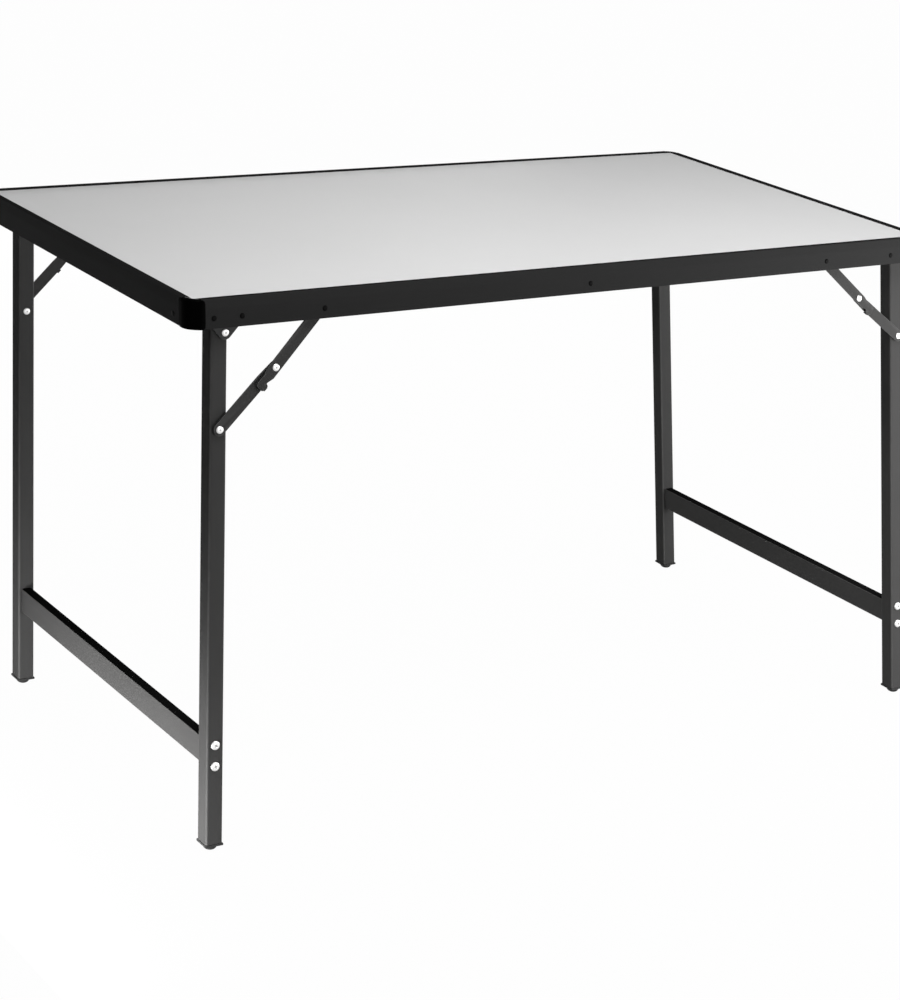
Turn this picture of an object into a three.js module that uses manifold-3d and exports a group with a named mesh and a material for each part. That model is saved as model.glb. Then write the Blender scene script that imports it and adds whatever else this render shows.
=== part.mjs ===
// Folding camping table: a rimmed top on two leg frames that fold inwards on jointed stays.
// Millimetres, +Z up. Origin on the floor under the middle of the top, front is -Y.
import * as THREE from 'three';
import { mergeVertices } from 'three/addons/utils/BufferGeometryUtils.js';
import Module from 'manifold-3d';

const wasm = await Module();
wasm.setup();

// Overall size of the open table.
const tableLength = 1200;
const tableDepth = 600;
const tableHeight = 700;
const footInset = 29; // table's end to the middle of a foot

// Clearances.
const seatGap = 0.3; // between pieces that touch
const rollGap = 0.3; // around a rivet in its hole
const cutOverrun = 1;

// Rail: an open extrusion with a raised rim outside the panel and a ledge under it.
const railHeight = 37;
const railWall = 1.6;
const railEdgeRadius = 2.5;
const rimWidth = 8;
const rimStep = 2; // rim above the panel
const ledgeReach = 14;
const ledgeThickness = 1.5;
const panelThickness = 8;

// Corner cap: moulded shell with tongues that push into the rails.
const capReach = 22;
const capRadius = 19;
const capEdgeRadius = 4;
const capDrop = 1.2; // below the rail's lower edge
const tongueLength = 30;
const capLugReach = 38;
const capLugHeight = 16;
const capLugThickness = 2.5;
const endRivetInset = 40; // from the table's side, on the end rail
const endRivetDrop = 25.5;

// Leg tube and where it is hinged.
const legWidth = 23;
const legWall = 1.5;
const legCornerRadius = 3;
const legInset = 14.5; // rail's outer face to the leg's outer face
const hingeInset = 54.4; // table's end to the hinge axis
const hingeOffset = 6.9; // hinge axis inward of the leg's centre line
const hingeDrops = { left: 46.4, right: 21 }; // below the top: the left frame folds under the right one
const legOvertops = { left: 20, right: 6.5 }; // leg above its hinge axis

// Hinge bracket: an upturned channel under the rail's ledge.
const bracketThickness = 2.5;
const bracketOuterReach = 30;
const bracketInnerReach = 34;
const bracketShoulderDrop = 24;
const bracketFlangeDrop = 31;
const bracketEyeRadius = 9;
const bracketStudPlaces = [-20.8, 17.1]; // along the rail from the hinge axis, inward positive
const railRivetDrop = 24;

// Rivets.
const pinRadius = 2.6;
const headRadius = 4.8;
const headHeight = 1.5;
const smallHeadRadius = 3.5;
const studRadius = 2.2;
const studHeadRadius = 3.4;
const studHeadHeight = 0.8;
const spacerRadius = 5.2;

// Jointed stay: two flat links, the knee breaks inward and down.
const lowerLinkLength = 104;
const upperLinkLengths = { left: 96.5, right: 92 };
const linkWidth = 16;
const linkThickness = 2;
const linkStandOff = 2; // lower link to the leg
const openStretchShare = 0.9995; // open pivots' distance as a share of both links
const tailShoulder = 7; // upper link past the knee, where its tail narrows
const tailRadius = 4.8;
const linkTail = 28.5; // knee to the middle of the tail's lobe
const lobeRadius = 5.5;
const lobeOffset = 3.2;
const stopLength = 6; // tab that bends over the lower link's edge
const stopThickness = 1.5;

// Cross rail between the two legs of a frame, screwed through them.
const stretcherRise = 123; // centre above the floor, along the leg
const stretcherHeight = 33.4;
const stretcherThickness = 14.6;
const stretcherWall = 1.2;
const stretcherRadius = 1.5;
const plugDepth = 20;
const screwSpacing = 27;
const screwRadius = 1.6;
const screwHeadRadius = 5.8;
const screwHeadHeight = 2.3;
const screwGrip = 15; // into the stretcher's plug

// Foot: a plug with a square flange over a rounded button.
const footFlange = 25;
const footFlangeThickness = 2.5;
const footButtonRadius = 9.5;
const footButtonHeight = 7;
const footFlatRadius = 4;
const footPlugDepth = 20;

// Flat bar that ties the two long rails under the panel.
const braceWidth = 40;
const braceThickness = 3;
const braceTabDrop = 31;
const braceStudOffset = 9.5;

// Facets on round shapes.
const roundSteps = 16;
const cornerSteps = 3;
const domeSteps = 2;

const finishes = {
  panel: { color: 0xd8d8d8, roughness: 0.45, metalness: 0 },
  rail: { color: 0x2c2c2c, roughness: 0.42, metalness: 0.35 },
  cap: { color: 0x060606, roughness: 0.5, metalness: 0 },
  frame: { color: 0x3a3a3a, roughness: 0.38, metalness: 0.4 },
  stay: { color: 0x383838, roughness: 0.42, metalness: 0.4 },
  rivet: { color: 0xd6d6d6, roughness: 0.25, metalness: 1 },
  darkRivet: { color: 0x141414, roughness: 0.4, metalness: 0.5 },
  foot: { color: 0x161616, roughness: 0.6, metalness: 0 },
};

const panelTop = tableHeight - rimStep;
const panelBottom = panelTop - panelThickness;
const ledgeTop = rimStep + panelThickness + seatGap; // depths below the top from here on
const ledgeBottom = ledgeTop + ledgeThickness;
const legMiddle = legInset + legWidth / 2;

// Depths of the layers beside a leg, from the rail's outer face inwards.
const layers = {};
layers.behindRail = railWall + seatGap;
layers.lowerLink = legInset - linkStandOff - linkThickness;
layers.lowerHead = layers.lowerLink - seatGap - headHeight;
layers.upperLink = layers.lowerHead - seatGap - linkThickness;
layers.bracket = legInset - seatGap - bracketThickness;

// Solid and mesh helpers.
function toSolid(geometry) {
  const bare = geometry.index ? geometry.toNonIndexed() : geometry.clone();
  bare.deleteAttribute('normal');
  bare.deleteAttribute('uv');
  const merged = mergeVertices(bare);
  return new wasm.Manifold(new wasm.Mesh({
    numProp: 3,
    vertProperties: new Float32Array(merged.attributes.position.array),
    triVerts: new Uint32Array(merged.index.array),
  }));
}

function toGeometry(solid) {
  const mesh = solid.getMesh();
  const geometry = new THREE.BufferGeometry();
  geometry.setAttribute('position', new THREE.BufferAttribute(mesh.vertProperties, 3));
  geometry.setIndex(new THREE.BufferAttribute(mesh.triVerts, 1));
  const flat = geometry.toNonIndexed();
  flat.computeVertexNormals();
  return flat;
}

function join(...geometries) {
  return toGeometry(geometries.map(toSolid).reduce((sum, next) => sum.add(next)));
}

function cut(geometry, ...cutters) {
  return toGeometry(cutters.map(toSolid).reduce((rest, next) => rest.subtract(next), toSolid(geometry)));
}

function common(first, second) {
  return toGeometry(toSolid(first).intersect(toSolid(second)));
}

function makeMesh(name, geometry, finish) {
  const mesh = new THREE.Mesh(geometry, new THREE.MeshStandardMaterial(finishes[finish]));
  mesh.name = name;
  return mesh;
}

// Mirror that swaps X and Y. Two corners of each triangle change places to keep it facing out.
function swapXY(geometry) {
  const position = geometry.attributes.position;
  const swapped = [];
  for (let i = 0; i < position.count; i += 3) {
    for (const corner of [i, i + 2, i + 1]) {
      swapped.push(position.getY(corner), position.getX(corner), position.getZ(corner));
    }
  }
  const mirrored = new THREE.BufferGeometry();
  mirrored.setAttribute('position', new THREE.Float32BufferAttribute(swapped, 3));
  return mirrored;
}

// Box between two corners.
function block(low, high) {
  const size = high.map((value, i) => value - low[i]);
  const geometry = new THREE.BoxGeometry(...size);
  return geometry.translate(...low.map((value, i) => value + size[i] / 2));
}

// Cylinder along Y between two depths.
function barY(radius, fromY, toY, x, z) {
  const geometry = new THREE.CylinderGeometry(radius, radius, Math.abs(toY - fromY), roundSteps);
  return geometry.translate(x, (fromY + toY) / 2, z);
}

function circlePoints(x, z, radius) {
  const steps = Array.from({ length: roundSteps }, (_, i) => (i / roundSteps) * 2 * Math.PI);
  return steps.map((turn) => new THREE.Vector2(x + radius * Math.cos(turn), z + radius * Math.sin(turn)));
}

// Convex outline around a set of points, by walking the lower and the upper chain.
function hullShape(points) {
  const sorted = [...points].sort((a, b) => a.x - b.x || a.y - b.y);
  const turn = (a, b, c) => (b.x - a.x) * (c.y - a.y) - (b.y - a.y) * (c.x - a.x);
  const chain = (list) => {
    const kept = [];
    for (const point of list) {
      while (kept.length > 1 && turn(kept.at(-2), kept.at(-1), point) <= 0) kept.pop();
      kept.push(point);
    }
    return kept.slice(0, -1);
  };
  return new THREE.Shape([...chain(sorted), ...chain(sorted.reverse())]);
}

function roundedRect(width, height, radius) {
  const x = width / 2 - radius;
  const y = height / 2 - radius;
  const shape = new THREE.Shape();
  shape.absarc(x, y, radius, 0, Math.PI / 2);
  shape.absarc(-x, y, radius, Math.PI / 2, Math.PI);
  shape.absarc(-x, -y, radius, Math.PI, 1.5 * Math.PI);
  shape.absarc(x, -y, radius, 1.5 * Math.PI, 2 * Math.PI);
  return shape;
}

function extrude(shape, depth) {
  return new THREE.ExtrudeGeometry(shape, { depth, bevelEnabled: false, curveSegments: cornerSteps });
}

// Outline in X and Z, thickness centred on Y.
function plateXZ(shape, thickness) {
  return extrude(shape, thickness).translate(0, 0, -thickness / 2).rotateX(Math.PI / 2);
}

// Dome on the Y axis, from its pole at y + direction * height down to its rim at y.
function domePoints(y, direction, radius, height) {
  const steps = Array.from({ length: domeSteps + 1 }, (_, i) => (i / domeSteps) * (Math.PI / 2));
  return steps.map((turn) => new THREE.Vector2(
    radius * Math.sin(turn),
    y + direction * height * Math.cos(turn),
  ));
}

// Profile of radius and Y turned about the Y axis.
function turned(profile) {
  return new THREE.LatheGeometry(profile, roundSteps);
}

// World Y of a depth behind the rail's outer face, side -1 is the front.
function depthToY(side, depth) {
  return side * (tableDepth / 2 - depth);
}

const sides = { front: -1, back: 1 };
const ends = { left: -1, right: 1 };

// Where a frame's hinge, stay pivots and foot lie. Inward is positive x, up is positive z,
// both from the hinge axis. Folded flat, the lower link lies along the leg's centre line.
function frameLayout(end) {
  const hingeDrop = hingeDrops[end];
  const hingeHeight = tableHeight - hingeDrop;
  const footOut = hingeInset - footInset;
  const reach = Math.hypot(footOut, hingeHeight);
  const splay = Math.atan2(footOut, hingeHeight) - Math.asin(hingeOffset / reach);
  const legRun = Math.sqrt(reach ** 2 - hingeOffset ** 2);
  const railRise = hingeDrop - railRivetDrop;
  const upperLinkLength = upperLinkLengths[end];
  const foldedShift = lowerLinkLength - Math.sqrt(upperLinkLength ** 2 - (railRise + hingeOffset) ** 2);
  const stretch = openStretchShare * (lowerLinkLength + upperLinkLength);
  const across = foldedShift + hingeOffset * Math.cos(splay);
  const up = railRise - hingeOffset * Math.sin(splay);
  const a = (1 + Math.sin(splay)) ** 2 + Math.cos(splay) ** 2;
  const b = (1 + Math.sin(splay)) * across + Math.cos(splay) * up;
  const c = across ** 2 + up ** 2 - stretch ** 2;
  const legPivotDrop = (Math.sqrt(b ** 2 - a * c) - b) / a; // along the leg
  const legPivot = new THREE.Vector2(
    -hingeOffset * Math.cos(splay) - legPivotDrop * Math.sin(splay),
    hingeOffset * Math.sin(splay) - legPivotDrop * Math.cos(splay),
  );
  const railPivot = new THREE.Vector2(legPivotDrop + foldedShift, railRise);
  const span = railPivot.clone().sub(legPivot);
  const corner = Math.acos(
    (lowerLinkLength ** 2 + span.lengthSq() - upperLinkLength ** 2) / (2 * lowerLinkLength * span.length()),
  );
  const lowerAngle = span.angle() - corner;
  const knee = legPivot.clone().add(
    new THREE.Vector2(Math.cos(lowerAngle), Math.sin(lowerAngle)).multiplyScalar(lowerLinkLength),
  );
  const upperAngle = knee.clone().sub(railPivot).angle();
  const x = ends[end] * (tableLength / 2 - hingeInset);
  return { x, hingeHeight, splay, legRun, legPivotDrop, legPivot, railPivot, lowerAngle, knee, upperAngle };
}

// Top.
function makePanel() {
  const inset = 2 * (rimWidth + seatGap);
  const geometry = new THREE.BoxGeometry(tableLength - inset, tableDepth - inset, panelThickness);
  const mesh = makeMesh('tabletop_panel', geometry, 'panel');
  mesh.position.z = (panelTop + panelBottom) / 2;
  return mesh;
}

// Section in depth (inward) and height (zero at the top).
function railSection() {
  const chamber = rimWidth - railWall;
  const shape = new THREE.Shape();
  shape.moveTo(0, -railHeight);
  shape.lineTo(0, -railEdgeRadius);
  shape.absarc(railEdgeRadius, -railEdgeRadius, railEdgeRadius, Math.PI, Math.PI / 2, true);
  shape.lineTo(rimWidth, 0);
  shape.lineTo(rimWidth, -ledgeTop);
  shape.lineTo(rimWidth + ledgeReach, -ledgeTop);
  shape.lineTo(rimWidth + ledgeReach, -ledgeBottom);
  shape.lineTo(chamber, -ledgeBottom);
  shape.lineTo(chamber, -railWall);
  shape.lineTo(railWall, -railWall);
  shape.lineTo(railWall, -railHeight);
  shape.closePath();
  return shape;
}

// Rail along X with its outer face at y = 0, inward +y. Holes are [x, drop, radius].
function railGeometry(span, holes) {
  const length = span - 2 * (capReach + seatGap);
  const basis = new THREE.Matrix4().makeBasis(
    new THREE.Vector3(0, 1, 0),
    new THREE.Vector3(0, 0, 1),
    new THREE.Vector3(1, 0, 0),
  );
  const body = extrude(railSection(), length).applyMatrix4(basis).translate(-length / 2, 0, 0);
  const through = railWall + cutOverrun;
  const cutters = holes.map(([x, drop, radius]) => barY(radius, -cutOverrun, through, x, -drop));
  return cut(body, ...cutters);
}

function longRailHoles(side) {
  const holes = [];
  for (const end of Object.keys(ends)) {
    const layout = frameLayout(end);
    const inward = -ends[end];
    for (const place of bracketStudPlaces) {
      holes.push([layout.x + inward * place, railRivetDrop, studRadius + rollGap]);
    }
    holes.push([layout.x + inward * layout.railPivot.x, railRivetDrop, pinRadius + rollGap]);
  }
  holes.push([-braceStudOffset, railRivetDrop, studRadius + rollGap]);
  return holes.map(([x, drop, radius]) => [-side * x, drop, radius]);
}

function makeRails() {
  const rails = [];
  for (const [name, side] of Object.entries(sides)) {
    const mesh = makeMesh(`rail_${name}`, railGeometry(tableLength, longRailHoles(side)), 'rail');
    mesh.position.set(0, side * tableDepth / 2, tableHeight);
    mesh.rotation.z = side > 0 ? Math.PI : 0;
    rails.push(mesh);
  }
  const place = tableDepth / 2 - endRivetInset;
  const endHoles = [place, -place].map((x) => [x, endRivetDrop, studRadius + rollGap]);
  for (const [name, end] of Object.entries(ends)) {
    const mesh = makeMesh(`rail_${name}`, railGeometry(tableDepth, endHoles), 'rail');
    mesh.position.set(end * tableLength / 2, 0, tableHeight);
    mesh.rotation.z = end * Math.PI / 2;
    rails.push(mesh);
  }
  return rails;
}

// Stud that stands out of a piece behind the rail wall, with its head on the rail's face.
// It lies along Y, from the given depth out to the head.
function railStud(x, drop, fromDepth) {
  const profile = [
    ...domePoints(-seatGap, -1, studHeadRadius, studHeadHeight),
    new THREE.Vector2(studRadius, -seatGap),
    new THREE.Vector2(studRadius, fromDepth),
    new THREE.Vector2(0, fromDepth),
  ];
  return turned(profile).translate(x, 0, -drop);
}

// Cap with its corner at the origin, both rails inward along +x and +y, top at z = 0.
function capGeometry(endRailAlongX) {
  const height = railHeight + capDrop;
  const reach = 2 * capReach;
  const outline = new THREE.Shape();
  outline.moveTo(reach, capEdgeRadius);
  outline.lineTo(reach, reach);
  outline.lineTo(capEdgeRadius, reach);
  outline.lineTo(capEdgeRadius, capRadius);
  outline.absarc(capRadius, capRadius, capRadius - capEdgeRadius, Math.PI, 1.5 * Math.PI);
  outline.closePath();
  const rounded = new THREE.ExtrudeGeometry(outline, {
    depth: height - 2 * capEdgeRadius,
    bevelThickness: capEdgeRadius,
    bevelSize: capEdgeRadius,
    bevelSegments: cornerSteps,
    curveSegments: 2 * cornerSteps,
  }).translate(0, 0, capEdgeRadius - height);
  const corner = common(rounded, block([0, 0, -height], [capReach, capReach, 0]));
  const far = capReach + cutOverrun;
  const panelSeat = block([rimWidth, rimWidth, -ledgeTop], [far, far, cutOverrun]);
  const hollow = new THREE.Shape();
  hollow.moveTo(far, railWall);
  hollow.lineTo(far, far);
  hollow.lineTo(railWall, far);
  hollow.lineTo(railWall, capRadius);
  hollow.absarc(capRadius, capRadius, capRadius - railWall, Math.PI, 1.5 * Math.PI);
  hollow.closePath();
  const under = new THREE.ExtrudeGeometry(hollow, {
    depth: height - ledgeBottom + cutOverrun,
    bevelEnabled: false,
    curveSegments: 2 * cornerSteps,
  }).translate(0, 0, -height - cutOverrun);
  const shell = cut(corner, panelSeat, under);
  const tongueFrom = capReach - railWall;
  const tongueTo = capReach + tongueLength;
  const tongueLow = railWall + seatGap;
  const tongueHigh = rimWidth - railWall - seatGap;
  const tongueBottom = seatGap - ledgeBottom;
  const tongueTop = -railWall - seatGap;
  const tongues = [
    block([tongueFrom, tongueLow, tongueBottom], [tongueTo, tongueHigh, tongueTop]),
    block([tongueLow, tongueFrom, tongueBottom], [tongueHigh, tongueTo, tongueTop]),
  ];
  const lugBack = tongueLow + capLugThickness;
  const lugBottom = -endRivetDrop - capLugHeight / 2;
  const lugTop = lugBottom + capLugHeight;
  const lug = join(
    block([tongueFrom, tongueLow, lugBottom], [capReach + capLugReach, lugBack, lugTop]),
    block([tongueFrom, railWall / 2, lugBottom], [capReach, lugBack, lugTop]),
    railStud(endRivetInset, endRivetDrop, lugBack),
  );
  return join(shell, ...tongues, endRailAlongX ? lug : swapXY(lug));
}

function makeCaps() {
  const corners = [
    ['front_left', -1, -1, 0],
    ['front_right', 1, -1, 1],
    ['back_right', 1, 1, 2],
    ['back_left', -1, 1, 3],
  ];
  return corners.map(([name, end, side, quarter]) => {
    const mesh = makeMesh(`corner_cap_${name}`, capGeometry(quarter % 2 === 1), 'cap');
    mesh.position.set(end * tableLength / 2, side * tableDepth / 2, tableHeight);
    mesh.rotation.z = quarter * Math.PI / 2;
    return mesh;
  });
}

function makeBrace() {
  const top = -ledgeBottom - seatGap;
  const start = layers.behindRail;
  const middle = tableDepth / 2;
  const half = (studSide) => {
    const back = start + braceThickness;
    const bar = block([-braceWidth / 2, start, top - braceThickness], [braceWidth / 2, middle, top]);
    const tab = block([-braceWidth / 2, start, -braceTabDrop], [braceWidth / 2, back, top]);
    const stud = railStud(studSide * braceStudOffset, railRivetDrop, back);
    return join(bar, tab, stud);
  };
  const front = half(-1).translate(0, -middle, 0);
  const back = half(1).translate(0, -middle, 0).rotateZ(Math.PI);
  const splice = block(
    [-braceWidth / 2, -braceThickness, top - braceThickness],
    [braceWidth / 2, braceThickness, top],
  );
  const mesh = makeMesh('centre_brace', join(front, splice, back), 'rail');
  mesh.position.z = tableHeight;
  return mesh;
}

// Bracket seen from the front, hinge axis at the origin, outer rail face at y = 0, inward +y.
// The hand is +1 where the table's middle lies towards +x.
function bracketGeometry(hingeDrop, hand) {
  const spanX = [-hand * bracketOuterReach, hand * bracketInnerReach].sort((p, q) => p - q);
  const top = hingeDrop - ledgeBottom - seatGap;
  const shoulder = hingeDrop - bracketShoulderDrop;
  const wide = (z) => spanX.map((x) => new THREE.Vector2(x, z));
  const eye = circlePoints(0, 0, bracketEyeRadius);
  const plate = plateXZ(hullShape([...wide(top), ...wide(shoulder), ...eye]), bracketThickness)
    .translate(0, layers.bracket + bracketThickness / 2, 0);
  const start = layers.behindRail;
  const flangeBottom = hingeDrop - bracketFlangeDrop;
  const flange = block([spanX[0], start, flangeBottom], [spanX[1], start + bracketThickness, top]);
  const web = block(
    [spanX[0], start, top - bracketThickness],
    [spanX[1], layers.bracket + bracketThickness, top],
  );
  const studs = bracketStudPlaces.map((place) => (
    railStud(hand * place, railRivetDrop - hingeDrop, start + bracketThickness)
  ));
  const body = join(plate, flange, web, ...studs);
  const hole = barY(pinRadius + rollGap, layers.bracket - cutOverrun, legInset, 0, 0);
  return cut(body, hole);
}

// Rivet through the leg, from an outer head at the given depth to a head inside the leg.
// A spacer fills the stretch between the two depths given for it.
function legRivetProfile(headDepth, spacer) {
  const farSide = legInset + legWidth + seatGap;
  const shoulder = headDepth + headHeight;
  const stepPoints = spacer.length
    ? [[pinRadius, spacer[0]], [spacerRadius, spacer[0]], [spacerRadius, spacer[1]], [pinRadius, spacer[1]]]
    : [];
  return [
    ...domePoints(shoulder, -1, headRadius, headHeight),
    new THREE.Vector2(pinRadius, shoulder),
    ...stepPoints.map(([radius, y]) => new THREE.Vector2(radius, y)),
    new THREE.Vector2(pinRadius, farSide),
    ...domePoints(farSide, 1, headRadius, headHeight).reverse(),
  ];
}

// Turned pieces are made for the front and turned about Z for the back.
function placeOnSide(mesh, side, x, z) {
  mesh.position.set(x, side * tableDepth / 2, z);
  mesh.rotation.z = side > 0 ? Math.PI : 0;
  return mesh;
}

function makeHinges(end, layout) {
  const pieces = [];
  for (const [name, side] of Object.entries(sides)) {
    const inward = -ends[end];
    const bracket = makeMesh(
      `hinge_bracket_${name}_${end}`,
      bracketGeometry(hingeDrops[end], -side * inward),
      'frame',
    );
    pieces.push(placeOnSide(bracket, side, layout.x, layout.hingeHeight));
    const rivet = makeMesh(
      `hinge_rivet_${name}_${end}`,
      turned(legRivetProfile(layers.bracket - seatGap - headHeight, [])),
      'rivet',
    );
    pieces.push(placeOnSide(rivet, side, layout.x, layout.hingeHeight));
  }
  return pieces;
}

// Square tube with its holes. In the leg frame the hinge axis is the origin and the leg hangs down.
function legGeometry(end, layout) {
  const centreX = ends[end] * hingeOffset;
  const bottom = footFlangeThickness + footButtonHeight - layout.legRun;
  const section = roundedRect(legWidth, legWidth, legCornerRadius);
  const bore = roundedRect(legWidth - 2 * legWall, legWidth - 2 * legWall, legCornerRadius - legWall);
  section.holes.push(new THREE.Path(bore.getPoints(cornerSteps)));
  const tube = extrude(section, legOvertops[end] - bottom).translate(centreX, 0, bottom);
  const through = legWidth / 2 + cutOverrun;
  const stretcherZ = stretcherRise - layout.legRun;
  const holes = [
    barY(pinRadius + rollGap, -through, through, 0, 0),
    barY(pinRadius + rollGap, -through, through, centreX, -layout.legPivotDrop),
    ...[-1, 1].map((sign) => (
      barY(screwRadius + rollGap, -through, through, centreX, stretcherZ + sign * screwSpacing / 2)
    )),
  ];
  return cut(tube, ...holes);
}

// Foot with its button's axis upright, so that its flat lies on the floor.
function footGeometry(end, layout) {
  const tilt = ends[end] * layout.splay;
  const arcSteps = Array.from({ length: cornerSteps + 1 }, (_, i) => (i / cornerSteps) * (Math.PI / 2));
  const bulge = footButtonRadius - footFlatRadius;
  const tall = footButtonHeight + footFlangeThickness / 2;
  const button = turned([
    new THREE.Vector2(0, 0),
    ...arcSteps.map((turn) => new THREE.Vector2(
      footFlatRadius + bulge * Math.sin(turn),
      footButtonHeight * (1 - Math.cos(turn)),
    )),
    new THREE.Vector2(footButtonRadius, tall),
    new THREE.Vector2(0, tall),
  ]).rotateX(Math.PI / 2).rotateY(tilt);
  const flange = extrude(roundedRect(footFlange, footFlange, legCornerRadius), footFlangeThickness)
    .translate(0, 0, footButtonHeight - seatGap);
  const plugWidth = legWidth - 2 * (legWall + seatGap);
  const plug = extrude(roundedRect(plugWidth, plugWidth, legWall), footPlugDepth + seatGap)
    .translate(0, 0, footButtonHeight + footFlangeThickness - seatGap);
  return join(button, flange, plug).translate(ends[end] * hingeOffset, 0, -layout.legRun);
}

function screwGeometry() {
  const headTop = legInset - seatGap - screwHeadHeight;
  const rim = screwHeadHeight / 2;
  return turned([
    ...domePoints(headTop + rim, -1, screwHeadRadius, rim),
    new THREE.Vector2(screwHeadRadius, legInset - seatGap),
    new THREE.Vector2(screwRadius, legInset - seatGap),
    new THREE.Vector2(screwRadius, legInset + legWidth + screwGrip),
    new THREE.Vector2(0, legInset + legWidth + screwGrip + screwRadius),
  ]);
}

// Stretcher tube between the legs, centred on the origin, and the plug that fills its ends.
function stretcherGeometry() {
  const length = tableDepth - 2 * (legInset + legWidth + seatGap);
  const wallBoth = 2 * stretcherWall;
  const section = roundedRect(stretcherThickness, stretcherHeight, stretcherRadius);
  const bore = roundedRect(stretcherThickness - wallBoth, stretcherHeight - wallBoth, stretcherRadius / 2);
  section.holes.push(new THREE.Path(bore.getPoints(cornerSteps)));
  return extrude(section, length).translate(0, 0, -length / 2).rotateX(Math.PI / 2);
}

function plugGeometry() {
  const shrink = 2 * (stretcherWall + seatGap);
  const section = roundedRect(stretcherThickness - shrink, stretcherHeight - shrink, stretcherRadius / 2);
  const body = plateXZ(section, plugDepth);
  const reach = plugDepth / 2 + cutOverrun;
  const holes = [-1, 1].map((sign) => (
    barY(screwRadius + rollGap, -reach, reach, 0, sign * screwSpacing / 2)
  ));
  return cut(body, ...holes);
}

// One leg frame, hung from its hinge axis and leaning outwards by its splay.
function makeLegFrame(end, layout) {
  const group = new THREE.Group();
  group.position.set(layout.x, 0, layout.hingeHeight);
  group.rotation.y = -ends[end] * layout.splay;
  const centreX = ends[end] * hingeOffset;
  const stretcherZ = stretcherRise - layout.legRun;
  const stretcher = makeMesh(`stretcher_${end}`, stretcherGeometry(), 'frame');
  stretcher.position.set(centreX, 0, stretcherZ);
  group.add(stretcher);
  for (const [name, side] of Object.entries(sides)) {
    const leg = makeMesh(`leg_${name}_${end}`, legGeometry(end, layout), 'frame');
    leg.position.y = depthToY(side, legMiddle);
    const foot = makeMesh(`foot_${name}_${end}`, footGeometry(end, layout), 'foot');
    foot.position.y = depthToY(side, legMiddle);
    const plug = makeMesh(`stretcher_plug_${name}_${end}`, plugGeometry(), 'cap');
    const plugDepthAt = legInset + legWidth + seatGap + plugDepth / 2;
    plug.position.set(centreX, depthToY(side, plugDepthAt), stretcherZ);
    const spacer = [layers.lowerLink + linkThickness + seatGap, legInset - seatGap];
    const rivet = makeMesh(
      `stay_leg_rivet_${name}_${end}`,
      turned(legRivetProfile(layers.lowerHead, spacer)),
      'rivet',
    );
    placeOnSide(rivet, side, centreX, -layout.legPivotDrop);
    group.add(leg, foot, plug, rivet);
    for (const [level, sign] of Object.entries({ lower: -1, upper: 1 })) {
      const screw = makeMesh(`stretcher_screw_${level}_${name}_${end}`, screwGeometry(), 'rivet');
      group.add(placeOnSide(screw, side, centreX, stretcherZ + sign * screwSpacing / 2));
    }
  }
  return group;
}

// Lower link along +x from its leg pivot, with the knee rivet's tail set in its far end.
function lowerLinkGeometry() {
  const radius = linkWidth / 2;
  const outline = hullShape([...circlePoints(0, 0, radius), ...circlePoints(lowerLinkLength, 0, radius)]);
  const plate = plateXZ(outline, linkThickness).translate(0, linkThickness / 2, 0);
  const tailHeight = linkStandOff - 2 * seatGap;
  const tail = turned([
    new THREE.Vector2(0, linkThickness / 2),
    new THREE.Vector2(headRadius, linkThickness / 2),
    ...domePoints(linkThickness, 1, headRadius, tailHeight).reverse(),
  ]).translate(lowerLinkLength, 0, 0);
  const hole = barY(pinRadius + rollGap, -cutOverrun, linkThickness + cutOverrun, 0, 0);
  return cut(join(plate, tail), hole).translate(0, layers.lowerLink, 0);
}

// Upper link along +x from its rail pivot. Past the knee its tail turns into line with the
// lower link and ends in a lobe, whose tab stops the lower link on the side that the knee
// breaks to. The hand sets that side.
function upperLinkGeometry(length, bend, hand) {
  const radius = linkWidth / 2;
  const pastKnee = (along, aside) => new THREE.Vector2(
    length + along * Math.cos(bend) + aside * Math.sin(bend),
    hand * (aside * Math.cos(bend) - along * Math.sin(bend)),
  );
  const disc = (centre, size) => circlePoints(centre.x, centre.y, size);
  const knee = pastKnee(0, 0);
  const shoulder = pastKnee(tailShoulder, 0);
  const tailEnd = pastKnee(linkTail, 0);
  const lobe = pastKnee(linkTail, lobeOffset);
  const stopNear = radius + seatGap;
  const stopFar = stopNear + stopThickness;
  const stop = [stopNear, stopFar].flatMap((aside) => (
    [-1, 1].map((sign) => pastKnee(linkTail + sign * stopLength / 2, aside))
  ));
  const stopDepth = layers.lowerLink + linkThickness - layers.upperLink;
  const plates = [
    hullShape([...circlePoints(0, 0, radius), ...disc(knee, radius)]),
    hullShape([...disc(knee, radius), ...disc(shoulder, radius - lobeOffset / 2)]),
    hullShape([...disc(shoulder, tailRadius), ...disc(tailEnd, tailRadius)]),
    hullShape([...disc(lobe, lobeRadius), ...stop]),
  ];
  const body = join(
    ...plates.map((outline) => plateXZ(outline, linkThickness).translate(0, linkThickness / 2, 0)),
    plateXZ(hullShape(stop), stopDepth).translate(0, stopDepth / 2, 0),
  );
  const holes = [0, length].map((x) => (
    barY(pinRadius + rollGap, -cutOverrun, linkThickness + cutOverrun, x, 0)
  ));
  return cut(body, ...holes).translate(0, layers.upperLink, 0);
}

// Rail pivot: dark head on the rail, spacer, then the upper link and a small head behind it.
function railPivotProfile() {
  const farSide = layers.upperLink + linkThickness + seatGap;
  const steps = [
    [pinRadius, -seatGap],
    [pinRadius, layers.behindRail],
    [spacerRadius, layers.behindRail],
    [spacerRadius, layers.upperLink - seatGap],
    [pinRadius, layers.upperLink - seatGap],
    [pinRadius, farSide],
  ];
  return [
    ...domePoints(-seatGap, -1, studHeadRadius, studHeadHeight),
    ...steps.map(([radius, y]) => new THREE.Vector2(radius, y)),
    ...domePoints(farSide, 1, smallHeadRadius, headHeight - seatGap).reverse(),
  ];
}

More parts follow.
